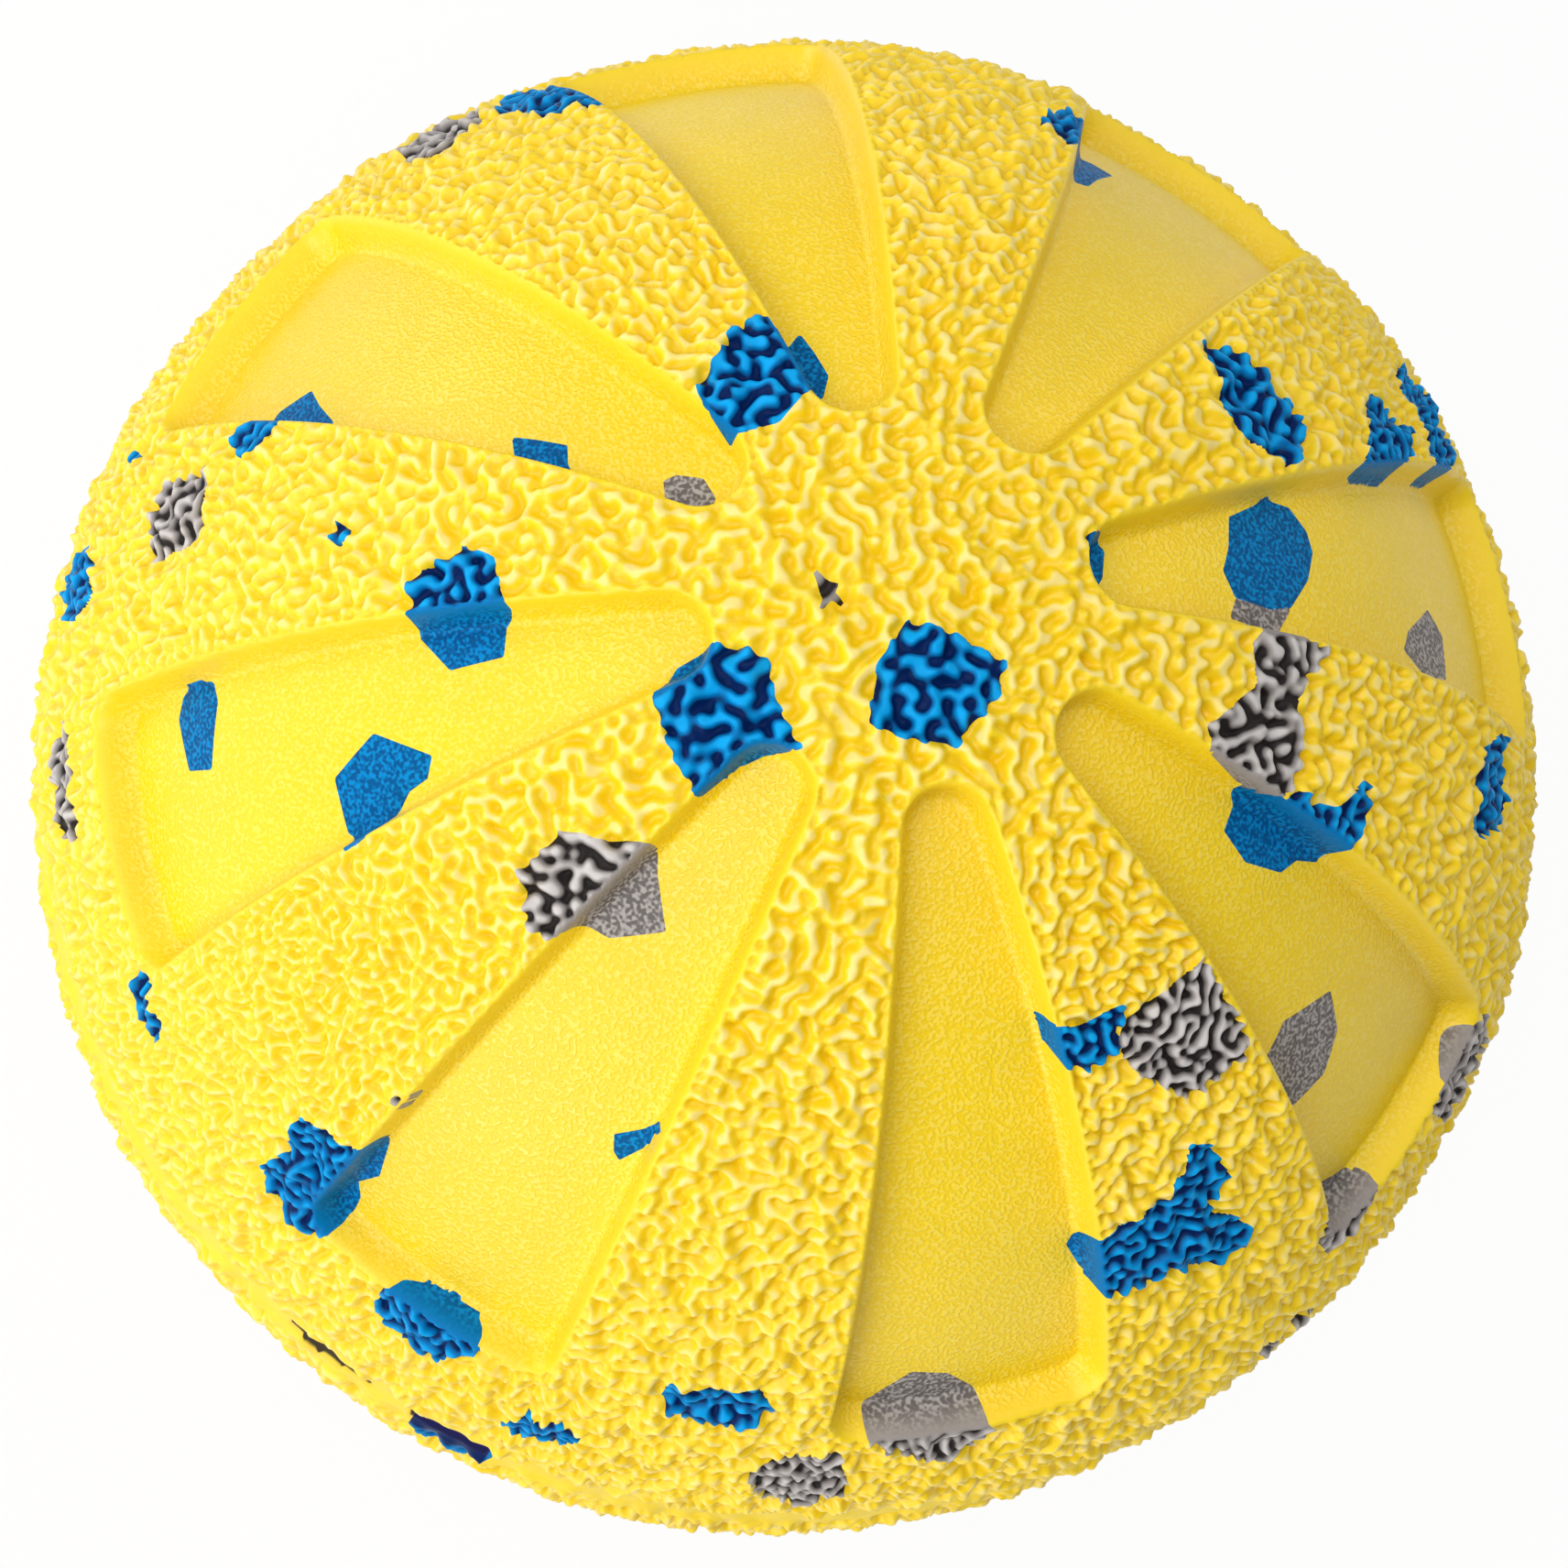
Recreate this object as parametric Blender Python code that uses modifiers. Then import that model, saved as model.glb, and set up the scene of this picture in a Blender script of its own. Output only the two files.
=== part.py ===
"""Foam dog ball: two moulded halves, with coloured foam flakes set flush in their skin."""
import math
from random import Random

import bmesh
import bpy
from mathutils import Vector

# The ball and the seam between its halves
BALL_DIAMETER = 0.080
SEAM_GAP = 0.0003
REST_PATCH_DIAMETER = 0.006

# The groove round the seam
GROOVE_WIDTH = 0.0054
GROOVE_DEPTH = 0.00055

# The recessed panels of each half, with the ribs left between them
PANEL_COUNT = 8
PANEL_WIDTH = math.radians(22.6)
PANEL_INNER_POLAR = math.radians(13.9)
PANEL_OUTER_POLAR = math.radians(70.6)
PANEL_DEPTH = 0.0020
PANEL_WALL_RUN = 0.00045
PANEL_CORNER_RADIUS = 0.00125

# The flakes: how far they reach below the panel floors, and their clearance in the foam
FLAKE_DEPTH = 0.0022
FLAKE_GAP = 0.0003

# Fineness of the faceted surfaces
SKIN_SEGMENTS = 40
SKIN_RINGS = 11
GROOVE_STEPS = 3
PANEL_SIDE_STEPS = 6
PANEL_ROUND_STEPS = 6
PANEL_CORNER_STEPS = 2

# A cutter reaches this many ball radii from the centre, clear of the skin
CUTTER_REACH = 1.3

FOAM_ROUGHNESS = 0.5
FOAM_COLOURS = {
    "yellow": (0.91, 0.68, 0.05, 1.0),
    "blue": (0.01, 0.14, 0.45, 1.0),
    "grey": (0.36, 0.32, 0.31, 1.0),
}

# Flakes of the upper half: colour and corners as (azimuth, polar) in degrees
UPPER_FLAKES = [
    ("blue", [(305, 2.4), (350, 4.8), (358, 8.4), (348, 9.6), (322, 11.4), (305, 10.4), (289, 9.8),
              (286, 5.8)]),
    ("blue", [(230, 14.6), (236, 12), (243, 11.1), (253, 12.3), (270, 13.6), (263, 15.4), (260, 17.5),
              (259, 20.6), (248, 19.8), (237, 19.2), (232, 17.2)]),
    ("blue", [(150, 23.9), (154, 23.4), (158.5, 22), (165, 21.7), (168, 19.9), (169.5, 17), (164, 16),
              (158, 15.7), (142, 17.4), (139, 19), (140, 21.3), (141, 23), (147, 21.3), (147.3, 23.6)]),
    ("blue", [(190.6, 31.3), (190.6, 28), (190.8, 26.6), (188.4, 27.7), (185.7, 28.4), (186.4, 30.8),
              (187, 32.6)]),
    ("blue", [(206.8, 32.9), (208.5, 35.1), (209.7, 35.7), (213.4, 36.1), (215.5, 36.6), (220.2, 34.4),
              (220, 30.2), (215.7, 29.8), (214, 28.7), (211.6, 29.1), (207.6, 29.7), (205.8, 32)]),
    ("blue", [(54.1, 32.7), (53, 29.6), (48.3, 28.6), (44.5, 27.5), (40.4, 28.2), (39.2, 31.5),
              (39.8, 33.7), (43.8, 36.1), (47.4, 37.4), (50, 37.4), (53.2, 36.3), (54.8, 33.7)]),
    ("blue", [(8.2, 31.2), (4.4, 31.5), (3.2, 34.5), (5.4, 37.9), (8, 38.8), (9.5, 40.8), (11.7, 40.7),
              (15.5, 41.1), (19, 40.3), (16.7, 39.2), (13.8, 38), (12.8, 35.7), (13.1, 33.9),
              (10.9, 33.2), (10.4, 31.8), (10, 30.3)]),
    ("blue", [(73.3, 33.4), (70, 32.5), (66.6, 31.2), (62, 32.3), (57.5, 34.4), (58.5, 36.3),
              (60.4, 37.9), (64.5, 39), (66.8, 38.2), (69.4, 38.5), (71.4, 36.9), (74, 36.9), (76.5, 34.4)]),
    ("blue", [(55.6, 46), (56, 43.8), (56.6, 44.8), (59.4, 47.2), (62, 48.8), (63.8, 50.4), (63, 51.8),
              (60.6, 53.5), (59.5, 54.8), (57.3, 52.8), (56.4, 50.8), (55.5, 50.4)]),
    ("blue", [(55.7, 57.2), (56.6, 58.6), (59.6, 59.3), (62, 58.9), (64, 59.6), (66, 62), (66.4, 66.5),
              (62, 69.6), (58.5, 67.5), (56.4, 62), (55.7, 60)]),
    ("blue", [(97, 56), (98.2, 52.8), (98.8, 50.2), (100.6, 49.6), (101.4, 50.6), (101.8, 49.2),
              (102.4, 50.5), (104.2, 51.4), (105.2, 51), (104.1, 54.3), (103, 56.6), (101.8, 56),
              (99, 56.5)]),
    ("blue", [(152.8, 64.5), (151.6, 63.8), (151, 59.3), (149.6, 57.8), (148, 58.8), (147.4, 55.8),
              (146.5, 55.6), (146.3, 60), (145.8, 64), (146, 68), (147.5, 71), (150.3, 71), (152.2, 67)]),
    ("blue", [(186.3, 55), (187.8, 53.1), (189.4, 50.6), (190.8, 49.8), (191, 53), (192, 52.9),
              (193.2, 53.6), (194.4, 54.3), (194.7, 55.9), (193.5, 57.5), (192.3, 57), (191.3, 55.4),
              (190.3, 58), (188.6, 57.6)]),
    ("blue", [(228.6, 46.1), (234.2, 46.4), (236.4, 45.2), (236.3, 43.5), (235, 42), (233, 40.3),
              (232.5, 38.5), (230.5, 37.7), (225.7, 41.9)]),
    ("blue", [(215.3, 61.9), (217, 62.6), (221.6, 61.8), (222.3, 59.2), (219.4, 58.4), (216.7, 57.7),
              (215, 58.1), (214.6, 60.4)]),
    ("blue", [(199.5, 78.5), (201.5, 75.5), (204, 73.5), (205.8, 76), (205, 79.5), (202.5, 82.4), (200, 81)]),
    ("blue", [(253.2, 63), (254.4, 62.2), (257, 61.6), (258.7, 60.4), (259.2, 59.4), (259.6, 60.7),
              (260.7, 64.2), (259.6, 66.6), (260.6, 68), (260.9, 70.2), (259.5, 72.1), (257.7, 72.7),
              (254.8, 71.5), (253.7, 70.2), (254.5, 67)]),
    ("blue", [(268.2, 74.7), (270, 75.2), (273, 75), (275.6, 71), (275.1, 70.5), (273.9, 70.2),
              (271.7, 70), (269.3, 70.3), (267.8, 70.5), (266.9, 71), (267.2, 73.7)]),
    ("blue", [(291, 69.1), (293.3, 70.1), (295.4, 69.4), (297.8, 68.1), (299, 66.7), (298.3, 66.2),
              (297, 64.3), (295.5, 65.7), (293.5, 65.3), (291.4, 66.3), (290.6, 65.7), (290.3, 67.8)]),
    ("blue", [(325.3, 32.7), (325.6, 34.7), (326.6, 36.5), (329, 36.9), (332, 36.9), (333, 36.5),
              (334.3, 35), (335.4, 34.2), (334.6, 33.7), (332, 34), (330, 34.2), (326, 33.3)]),
    ("blue", [(325.8, 57.4), (326.4, 58), (328.3, 58.5), (332.4, 58.4), (336.8, 60.9), (340, 60.9),
              (340.8, 60), (339.2, 56.7), (337.5, 55.6), (337.6, 54.3), (340, 52.3), (339, 48.7),
              (337.4, 47.8), (336.2, 50.1), (335, 50), (334, 51.5), (329.3, 51.5), (328, 52.1),
              (326.4, 52.3), (324.6, 54.3)]),
    ("blue", [(22, 57.5), (25, 55.8), (28.5, 55.6), (32, 60), (29, 62.2), (24, 60.8)]),
    ("grey", [(36.8, 27.6), (36.3, 29.2), (31, 27.6), (24.3, 27.8), (19.8, 26.2), (14.5, 24.8),
              (11.5, 25.6), (10.9, 29.5), (11.2, 31.6), (11.7, 32.7), (13.8, 33), (17.7, 33.1),
              (22, 31.8), (27.2, 31.6), (30, 33.1), (32.5, 34.2), (33.4, 31.1), (39, 33.4),
              (38.4, 31.5), (39.5, 28.2)]),
    ("grey", [(249.6, 31.7), (249.7, 34), (253, 34.9), (255.2, 35.9), (258, 35.4), (259, 33.8),
              (263.3, 33.2), (268.7, 30.3), (262.5, 27.4), (259.2, 25.7), (256.4, 26.5), (253.5, 28.2),
              (251.3, 28.8), (249, 30)]),
    ("grey", [(333.3, 37), (335, 39.7), (339, 43.6), (341.7, 43.7), (346, 43.6), (347.6, 42.7),
              (347.5, 39.2), (347.6, 35), (342.6, 35.1), (338, 35.1), (335, 35.3)]),
    ("grey", [(350.4, 48.8), (354, 47.6), (360, 49.8), (358.4, 53.3), (355, 55.4), (350.8, 55.1)]),
    ("grey", [(35.8, 51.5), (37.5, 48.5), (39.5, 49.5), (42.5, 53.8), (40.5, 56), (36.5, 55.8)]),
    ("grey", [(8.1, 70.3), (6.2, 70.5), (4.7, 70.7), (3.6, 70.9), (2.7, 72), (4, 76.5), (6.2, 77.5),
              (8.2, 77), (10.7, 78), (11.4, 75), (11.4, 71.5), (9.8, 70.4)]),
    ("grey", [(160.2, 63.6), (158.4, 63.3), (156.2, 65.2), (154.7, 65.2), (154, 67), (152.6, 71),
              (155, 73), (159.5, 72), (160.8, 67)]),
    ("grey", [(190.3, 17), (189.6, 15.8), (183.6, 15.9), (180.7, 17.4), (182.8, 19.2), (184.8, 19.7),
              (190.3, 18.6)]),
    ("grey", [(195.8, 59.4), (199, 58.6), (202.3, 58.3), (203.4, 63.8), (200, 65.3), (197, 64.5)]),
    ("grey", [(213.7, 77), (218, 75.6), (220.5, 77), (223, 76.8), (222, 80), (218, 81.7), (214.5, 80)]),
    ("grey", [(306.8, 70), (308.5, 68), (310.5, 66), (313.5, 66.8), (315.5, 69), (317, 71.5), (315.5, 74.4),
              (312.5, 74.6), (309, 72.8)]),
    ("grey", [(299, 77.5), (299.5, 75), (303, 72.8), (305, 72.8), (306.6, 79.5), (304, 82.8), (301, 82)]),
]

# Flakes of the lower half: colour, azimuth, polar, length, width and turn, in degrees
LOWER_FLAKES = [
    ("blue", 277, 91.8, 6.6, 7.0, 0),
    ("grey", 18, 98, 9, 6, 20),
    ("blue", 58, 104, 11, 7, -35),
    ("blue", 104, 97, 8, 5.5, 60),
    ("grey", 141, 105, 9, 7, 10),
    ("blue", 176, 98, 7, 6, -20),
    ("blue", 214, 109, 11, 7, 45),
    ("grey", 252, 111, 8, 6.5, -60),
    ("blue", 303, 108, 10, 6, 25),
    ("grey", 338, 113, 9, 7, -15),
    ("blue", 2, 123, 12, 8, 70),
    ("grey", 40, 119, 7, 5.5, 30),
    ("blue", 84, 121, 10, 8, -50),
    ("grey", 160, 120, 10, 6, 80),
    ("blue", 194, 128, 9, 8, -30),
    ("blue", 235, 130, 12, 7, 40),
    ("grey", 273, 127, 9, 8, -10),
    ("blue", 319, 131, 10, 7, 60),
    ("grey", 64, 141, 10, 7, 20),
    ("blue", 116, 138, 11, 8, -70),
    ("grey", 205, 149, 9, 7, -20),
    ("blue", 262, 151, 10, 8, 35),
    ("blue", 352, 153, 10, 8, 10),
    ("blue", 130, 163, 9, 7.5, 40),
]
LOWER_FLAKE_CORNERS = 7
LOWER_FLAKE_UNEVENNESS = 0.16
LOWER_FLAKE_SEED = 5

# Facet edges of the skin and of the floors stay off the panels' centre lines, and off each other
SKIN_TURN = math.pi / SKIN_SEGMENTS
FLOOR_TURN = SKIN_TURN / 2

BALL_RADIUS = BALL_DIAMETER / 2
FLOOR_RADIUS = BALL_RADIUS - PANEL_DEPTH
FLAKE_BASE_RADIUS = FLOOR_RADIUS - FLAKE_DEPTH


def clear_scene():
    for old in list(bpy.data.objects):
        bpy.data.objects.remove(old, do_unlink=True)


def new_collection(name):
    collection = bpy.data.collections.new(name)
    bpy.context.scene.collection.children.link(collection)
    return collection


def foam(colour):
    """Closed-cell foam with a dull satin skin."""
    material = bpy.data.materials.new(f"{colour}_foam")
    material.use_nodes = True
    shader = material.node_tree.nodes["Principled BSDF"]
    shader.inputs["Base Color"].default_value = FOAM_COLOURS[colour]
    shader.inputs["Roughness"].default_value = FOAM_ROUGHNESS
    shader.inputs["Metallic"].default_value = 0.0
    return material


def add_object(name, mesh, collection, material=None):
    thing = bpy.data.objects.new(name, mesh)
    collection.objects.link(thing)
    if material:
        mesh.materials.append(material)
    return thing


def as_cutter(thing):
    thing.hide_render = True
    thing.display_type = "WIRE"
    return thing


def boolean(thing, operation, other):
    modifier = thing.modifiers.new(f"{operation.lower()}_{other.name}", "BOOLEAN")
    modifier.operation = operation
    modifier.object = other


def direction(azimuth, polar):
    """Unit vector from the ball's centre, with azimuth from +X and polar from +Z."""
    return Vector((
        math.sin(polar) * math.cos(azimuth),
        math.sin(polar) * math.sin(azimuth),
        math.cos(polar),
    ))


class Outline:
    """A closed outline on the ball, as directions from its centre, counter-clockwise from outside."""

    def __init__(self, directions):
        middle = sum(directions, Vector())
        turning = sum((a.cross(b) for a, b in self.edges(directions)), Vector())
        self.directions = directions if turning.dot(middle) > 0 else directions[::-1]
        sides = [a.cross(b).normalized() for a, b in self.edges(self.directions)]
        self.mitres = [self.mitre(sides[i - 1], sides[i]) for i in range(len(sides))]

    @staticmethod
    def edges(points):
        return zip(points, points[1:] + points[:1])

    @staticmethod
    def mitre(before, after):
        """Step that moves a corner out by one unit from both of its sides."""
        both = before + after
        return -2 * both / both.length_squared

    def section(self, radius, grow=0.0):
        """The outline at a distance from the centre, grown sideways by a length."""
        return [radius * d + grow * m for d, m in zip(self.directions, self.mitres)]


def loft_mesh(name, solids):
    """One closed solid through each list of sections, from the innermost outwards."""
    bm = bmesh.new()
    for sections in solids:
        rings = [[bm.verts.new(point) for point in section] for section in sections]
        count = len(rings[0])
        for inner, outer in zip(rings, rings[1:]):
            for i in range(count):
                j = (i + 1) % count
                bm.faces.new((inner[i], inner[j], outer[j], outer[i]))
        bm.faces.new(rings[0][::-1])
        bm.faces.new(rings[-1])
    mesh = bpy.data.meshes.new(name)
    bm.to_mesh(mesh)
    bm.free()
    return mesh


def skin_profile():
    """Half section of the upper skin as (distance from the axis, height), from pole to seam."""
    groove_half_angle = GROOVE_WIDTH / 2 / BALL_RADIUS
    groove_edge = math.pi / 2 - groove_half_angle
    points = []
    for i in range(SKIN_RINGS + 1):
        polar = groove_edge * i / SKIN_RINGS
        points.append((BALL_RADIUS * math.sin(polar), BALL_RADIUS * math.cos(polar)))
    for i in range(1, GROOVE_STEPS):
        share = i / GROOVE_STEPS
        radius = BALL_RADIUS - GROOVE_DEPTH * (1 - math.cos(math.pi * share)) / 2
        polar = groove_edge + groove_half_angle * share
        points.append((radius * math.sin(polar), radius * math.cos(polar)))
    seam_height = SEAM_GAP / 2
    points.append((math.sqrt((BALL_RADIUS - GROOVE_DEPTH) ** 2 - seam_height ** 2), seam_height))
    return points


def flat_pole(points):
    """The half section with the pole cut flat, as wide as the rest patch."""
    patch_radius = REST_PATCH_DIAMETER / 2
    height = math.sqrt(BALL_RADIUS ** 2 - patch_radius ** 2)
    beyond = [point for point in points if point[1] < height]
    return [(0.0, height), (patch_radius, height)] + beyond


def half_solid(name, upper, collection, material=None):
    """A turned half ball; the lower one stands on its rest patch."""
    if upper:
        outline = skin_profile() + [(0.0, SEAM_GAP / 2)]
    else:
        flipped = flat_pole(skin_profile()) + [(0.0, SEAM_GAP / 2)]
        outline = [(x, -z) for x, z in reversed(flipped)]
    mesh = bpy.data.meshes.new(name)
    edges = [(i, i + 1) for i in range(len(outline) - 1)]
    mesh.from_pydata([(x, 0.0, z) for x, z in outline], edges, [])
    half = add_object(name, mesh, collection, material)
    half.rotation_euler.z = SKIN_TURN
    screw = half.modifiers.new("turn", "SCREW")
    screw.steps = SKIN_SEGMENTS
    screw.render_steps = SKIN_SEGMENTS
    screw.use_merge_vertices = True
    screw.merge_threshold = 0.00001
    return half


def panel_outline(azimuth, upper):
    """Rib-level edge of a panel: sides on two meridians, a full round inside, corners outside.

    It is drawn on the flat map tan(polar / 2), where meridians are rays and circles stay circles.
    """
    half = PANEL_WIDTH / 2
    inner = math.tan(PANEL_INNER_POLAR / 2)
    outer = math.tan(PANEL_OUTER_POLAR / 2)
    round_centre = inner / (1 - math.sin(half))
    round_radius = round_centre - inner
    rim_scale = (1 + outer ** 2) / 2 / BALL_RADIUS
    corner = (PANEL_CORNER_RADIUS + PANEL_WALL_RUN) * rim_scale
    corner_distance = outer - corner
    corner_azimuth = half - math.asin(corner / corner_distance)

    flat = []
    for i in range(PANEL_CORNER_STEPS + 1):
        angle = corner_azimuth + (half + math.pi / 2 - corner_azimuth) * i / PANEL_CORNER_STEPS
        flat.append((corner_distance * math.cos(corner_azimuth) + corner * math.cos(angle),
                     corner_distance * math.sin(corner_azimuth) + corner * math.sin(angle)))
    side_from = 2 * math.atan(math.hypot(*flat[-1]))
    side_to = 2 * math.atan(round_centre * math.cos(half))
    for i in range(1, PANEL_SIDE_STEPS):
        distance = math.tan((side_from + (side_to - side_from) * i / PANEL_SIDE_STEPS) / 2)
        flat.append((distance * math.cos(half), distance * math.sin(half)))
    for i in range(PANEL_ROUND_STEPS // 2):
        angle = math.pi / 2 + half + (math.pi / 2 - half) * i / (PANEL_ROUND_STEPS // 2)
        flat.append((round_centre + round_radius * math.cos(angle), round_radius * math.sin(angle)))
    mirrored = [(x, -y) for x, y in reversed(flat)]
    directions = []
    for x, y in flat + [(inner, 0.0)] + mirrored + [(outer, 0.0)]:
        polar = 2 * math.atan(math.hypot(x, y))
        directions.append(direction(azimuth + math.atan2(y, x), polar if upper else math.pi - polar))
    return Outline(directions)


def panel_cutter(name, upper, floor_core, collection):
    """All the panels of one half, with drafted walls down to a floor that follows the ball."""
    solids = []
    for i in range(PANEL_COUNT):
        outline = panel_outline(2 * math.pi * i / PANEL_COUNT, upper)
        solids.append([
            outline.section(FLAKE_BASE_RADIUS, -PANEL_WALL_RUN),
            outline.section(FLOOR_RADIUS, -PANEL_WALL_RUN),
            outline.section(BALL_RADIUS),
            outline.section(CUTTER_REACH * BALL_RADIUS),
        ])
    cutter = as_cutter(add_object(name, loft_mesh(name, solids), collection))
    boolean(cutter, "DIFFERENCE", floor_core)
    return cutter


def upper_flake_outline(corners):
    return Outline([direction(math.radians(azimuth), math.radians(polar)) for azimuth, polar in corners])


def lower_flake_outline(rng, azimuth, polar, length, width, turn):
    """An uneven chip about a centre on the ball, its long side turned from the parallel."""
    centre = direction(math.radians(azimuth), math.radians(polar))
    along = Vector((0, 0, 1)).cross(centre).normalized()
    up = centre.cross(along)
    cos_turn = math.cos(math.radians(turn))
    sin_turn = math.sin(math.radians(turn))
    directions = []
    for i in range(LOWER_FLAKE_CORNERS):
        shift = rng.uniform(-LOWER_FLAKE_UNEVENNESS, LOWER_FLAKE_UNEVENNESS)
        reach = 1 + rng.uniform(-LOWER_FLAKE_UNEVENNESS, LOWER_FLAKE_UNEVENNESS)
        angle = 2 * math.pi * (i + shift) / LOWER_FLAKE_CORNERS
        x = math.radians(length) / 2 * reach * math.cos(angle)
        y = math.radians(width) / 2 * reach * math.sin(angle)
        step = along * (x * cos_turn - y * sin_turn) + up * (x * sin_turn + y * cos_turn)
        directions.append((centre + step).normalized())
    return Outline(directions)


def build_half(name, upper, flakes, floor_core, parts, cutters, materials, counts, root):
    """A half with its panels and flake pockets, and the flakes that fill the pockets."""
    side = "upper" if upper else "lower"
    panels = panel_cutter(f"{side}_panels", upper, floor_core, cutters)
    skin = as_cutter(half_solid(f"{side}_skin", upper, cutters))
    boolean(skin, "DIFFERENCE", panels)

    pocket_solids = []
    for colour, outline in flakes:
        counts[colour] += 1
        flake_name = f"{colour}_flake_{counts[colour]:02d}"
        reach = CUTTER_REACH * BALL_RADIUS
        sections = [outline.section(FLAKE_BASE_RADIUS), outline.section(reach)]
        flake = add_object(flake_name, loft_mesh(flake_name, [sections]), parts, materials[colour])
        boolean(flake, "INTERSECT", skin)
        flake.parent = root
        pocket_solids.append([outline.section(FLAKE_BASE_RADIUS - FLAKE_GAP, FLAKE_GAP),
                              outline.section(reach, FLAKE_GAP)])

    half = half_solid(name, upper, parts, materials["yellow"])
    boolean(half, "DIFFERENCE", panels)
    for number, solid in enumerate(pocket_solids):
        pocket_name = f"{side}_pocket_{number:02d}"
        pocket = as_cutter(add_object(pocket_name, loft_mesh(pocket_name, [solid]), cutters))
        boolean(half, "DIFFERENCE", pocket)
    half.parent = root


def core_sphere(collection):
    """The sphere that the panel floors follow."""
    rings = SKIN_SEGMENTS // 2
    bpy.ops.mesh.primitive_uv_sphere_add(segments=SKIN_SEGMENTS, ring_count=rings, radius=FLOOR_RADIUS)
    core = as_cutter(bpy.context.active_object)
    core.name = "floor_core"
    core.rotation_euler.z = FLOOR_TURN
    for other in list(core.users_collection):
        other.objects.unlink(core)
    collection.objects.link(core)
    return core


def main():
    clear_scene()
    parts = new_collection("foam_dog_ball")
    cutters = new_collection("cutters")
    materials = {colour: foam(colour) for colour in FOAM_COLOURS}
    root = bpy.data.objects.new("ball_centre", None)
    parts.objects.link(root)

    floor_core = core_sphere(cutters)
    counts = {colour: 0 for colour in FOAM_COLOURS}
    upper_flakes = [(colour, upper_flake_outline(corners)) for colour, corners in UPPER_FLAKES]
    build_half("upper_half", True, upper_flakes, floor_core, parts, cutters, materials, counts, root)
    rng = Random(LOWER_FLAKE_SEED)
    lower_flakes = [(colour, lower_flake_outline(rng, *shape)) for colour, *shape in LOWER_FLAKES]
    build_half("lower_half", False, lower_flakes, floor_core, parts, cutters, materials, counts, root)


main()
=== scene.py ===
"""Looks of a moulded foam dog ball: its ridged skin, the flakes set flush in it, and a plain studio."""
import math

import bmesh
import bpy
import numpy as np
from mathutils import Euler, Matrix, Vector


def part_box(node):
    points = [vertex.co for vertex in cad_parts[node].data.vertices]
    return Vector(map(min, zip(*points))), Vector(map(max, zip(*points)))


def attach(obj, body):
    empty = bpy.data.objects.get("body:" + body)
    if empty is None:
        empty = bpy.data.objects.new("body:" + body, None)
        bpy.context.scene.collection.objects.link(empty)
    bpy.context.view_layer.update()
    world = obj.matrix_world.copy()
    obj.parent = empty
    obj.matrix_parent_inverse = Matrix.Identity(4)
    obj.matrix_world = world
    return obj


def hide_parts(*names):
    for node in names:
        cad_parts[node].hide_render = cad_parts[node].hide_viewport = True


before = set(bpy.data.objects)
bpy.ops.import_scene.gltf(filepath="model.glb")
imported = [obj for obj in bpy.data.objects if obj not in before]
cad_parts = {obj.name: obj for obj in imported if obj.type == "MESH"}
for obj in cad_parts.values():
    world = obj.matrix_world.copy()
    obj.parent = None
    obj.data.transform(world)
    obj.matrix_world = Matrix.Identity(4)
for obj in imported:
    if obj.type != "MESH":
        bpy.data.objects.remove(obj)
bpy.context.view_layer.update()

# The ball, as its solids have it
BALL_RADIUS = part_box("upper_half")[1].z
REST_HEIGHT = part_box("lower_half")[0].z
GROOVE_HALF_WIDTH = 0.0027
GROOVE_DEPTH = 0.00055
PANEL_COUNT = 8
PANEL_HALF_WIDTH = math.radians(11.3)
PANEL_INNER_POLAR = math.radians(13.9)
PANEL_OUTER_POLAR = math.radians(70.6)
PANEL_CORNER_RADIUS = 0.0017
PANEL_DEPTH = 0.0020
PANEL_WALL_RUN = 0.00045
FLAKE_GAP = 0.0003

# How the panels' edges and feet are rounded
EDGE_SOFTNESS = 0.0001
FOOT_SOFTNESS = 0.00032

# The line of the seam: a fine notch all round
SEAM_DEPTH = 0.00015
SEAM_HALF_WIDTH = 0.00012

# Where the ridges begin beside the groove, measured from its edge, and how far the swells shift that
RIDGES_FROM = -0.0010
RIDGES_TO = 0.0002
RIDGES_SHIFT = 0.0003

# Stretches where the seam gapes on its lower side, notched there and painted with shade, the last one
# painted shade of the groove over a blue flake: azimuth from and to, in degrees, then reach down and depth
SHADED_SEAM_SPANS = [
    (217.5, 222.0, 0.0010, 0.00005),
    (262.0, 264.0, 0.0014, 0.00005),
    (263.5, 265.6, 0.0020, 0.00006),
    (265.0, 267.6, 0.0017, 0.00006),
    (267.2, 270.2, 0.0012, 0.00004),
    (273.4, 280.4, 0.0022, 0.00006),
]

# The taper of its ends, in degrees, and how far its level falls below that of the ridges, which brings in
# the painted shade of the gap colour
OPEN_SEAM_ENDS = 0.3
OPEN_SEAM_SHADE_FALL = 3

# Small pits that sink the ridges and so take the valleys' painted shade: azimuth, polar angle and reach, in
# degrees, and the share sunk
PITS = [
    (214.0, 5.6, 1.3, 0.5),
    (228.0, 4.2, 0.7, 0.6),
]

# Low swells all over: from swell to swell, height, and how far from the seam and from a panel they begin
SWELL_PITCH = 0.0028
SWELL_HEIGHT = 0.00017
SWELL_FROM_SEAM = 0.0003
SWELL_FROM_PANEL = 0.001
SWELL_SEED = 4

# Lumps and dents that leave it out of round: azimuth, polar angle and reach, in degrees, and height
LUMPS = [
    (139, 74, 17, -0.00050),
    (174, 75, 8, -0.00040),
    (94, 74, 6, -0.00025),
    (80, 74, 4, -0.00025),
    (4, 77, 9, -0.00025),
    (318, 96, 20, -0.00035),
    (281, 104, 6, -0.00040),
    (205, 84, 14, 0.00020),
    (70, 74, 8, 0.00020),
    (16, 75, 7, 0.00020),
    (245, 101, 6, 0.00020),
]

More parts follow.
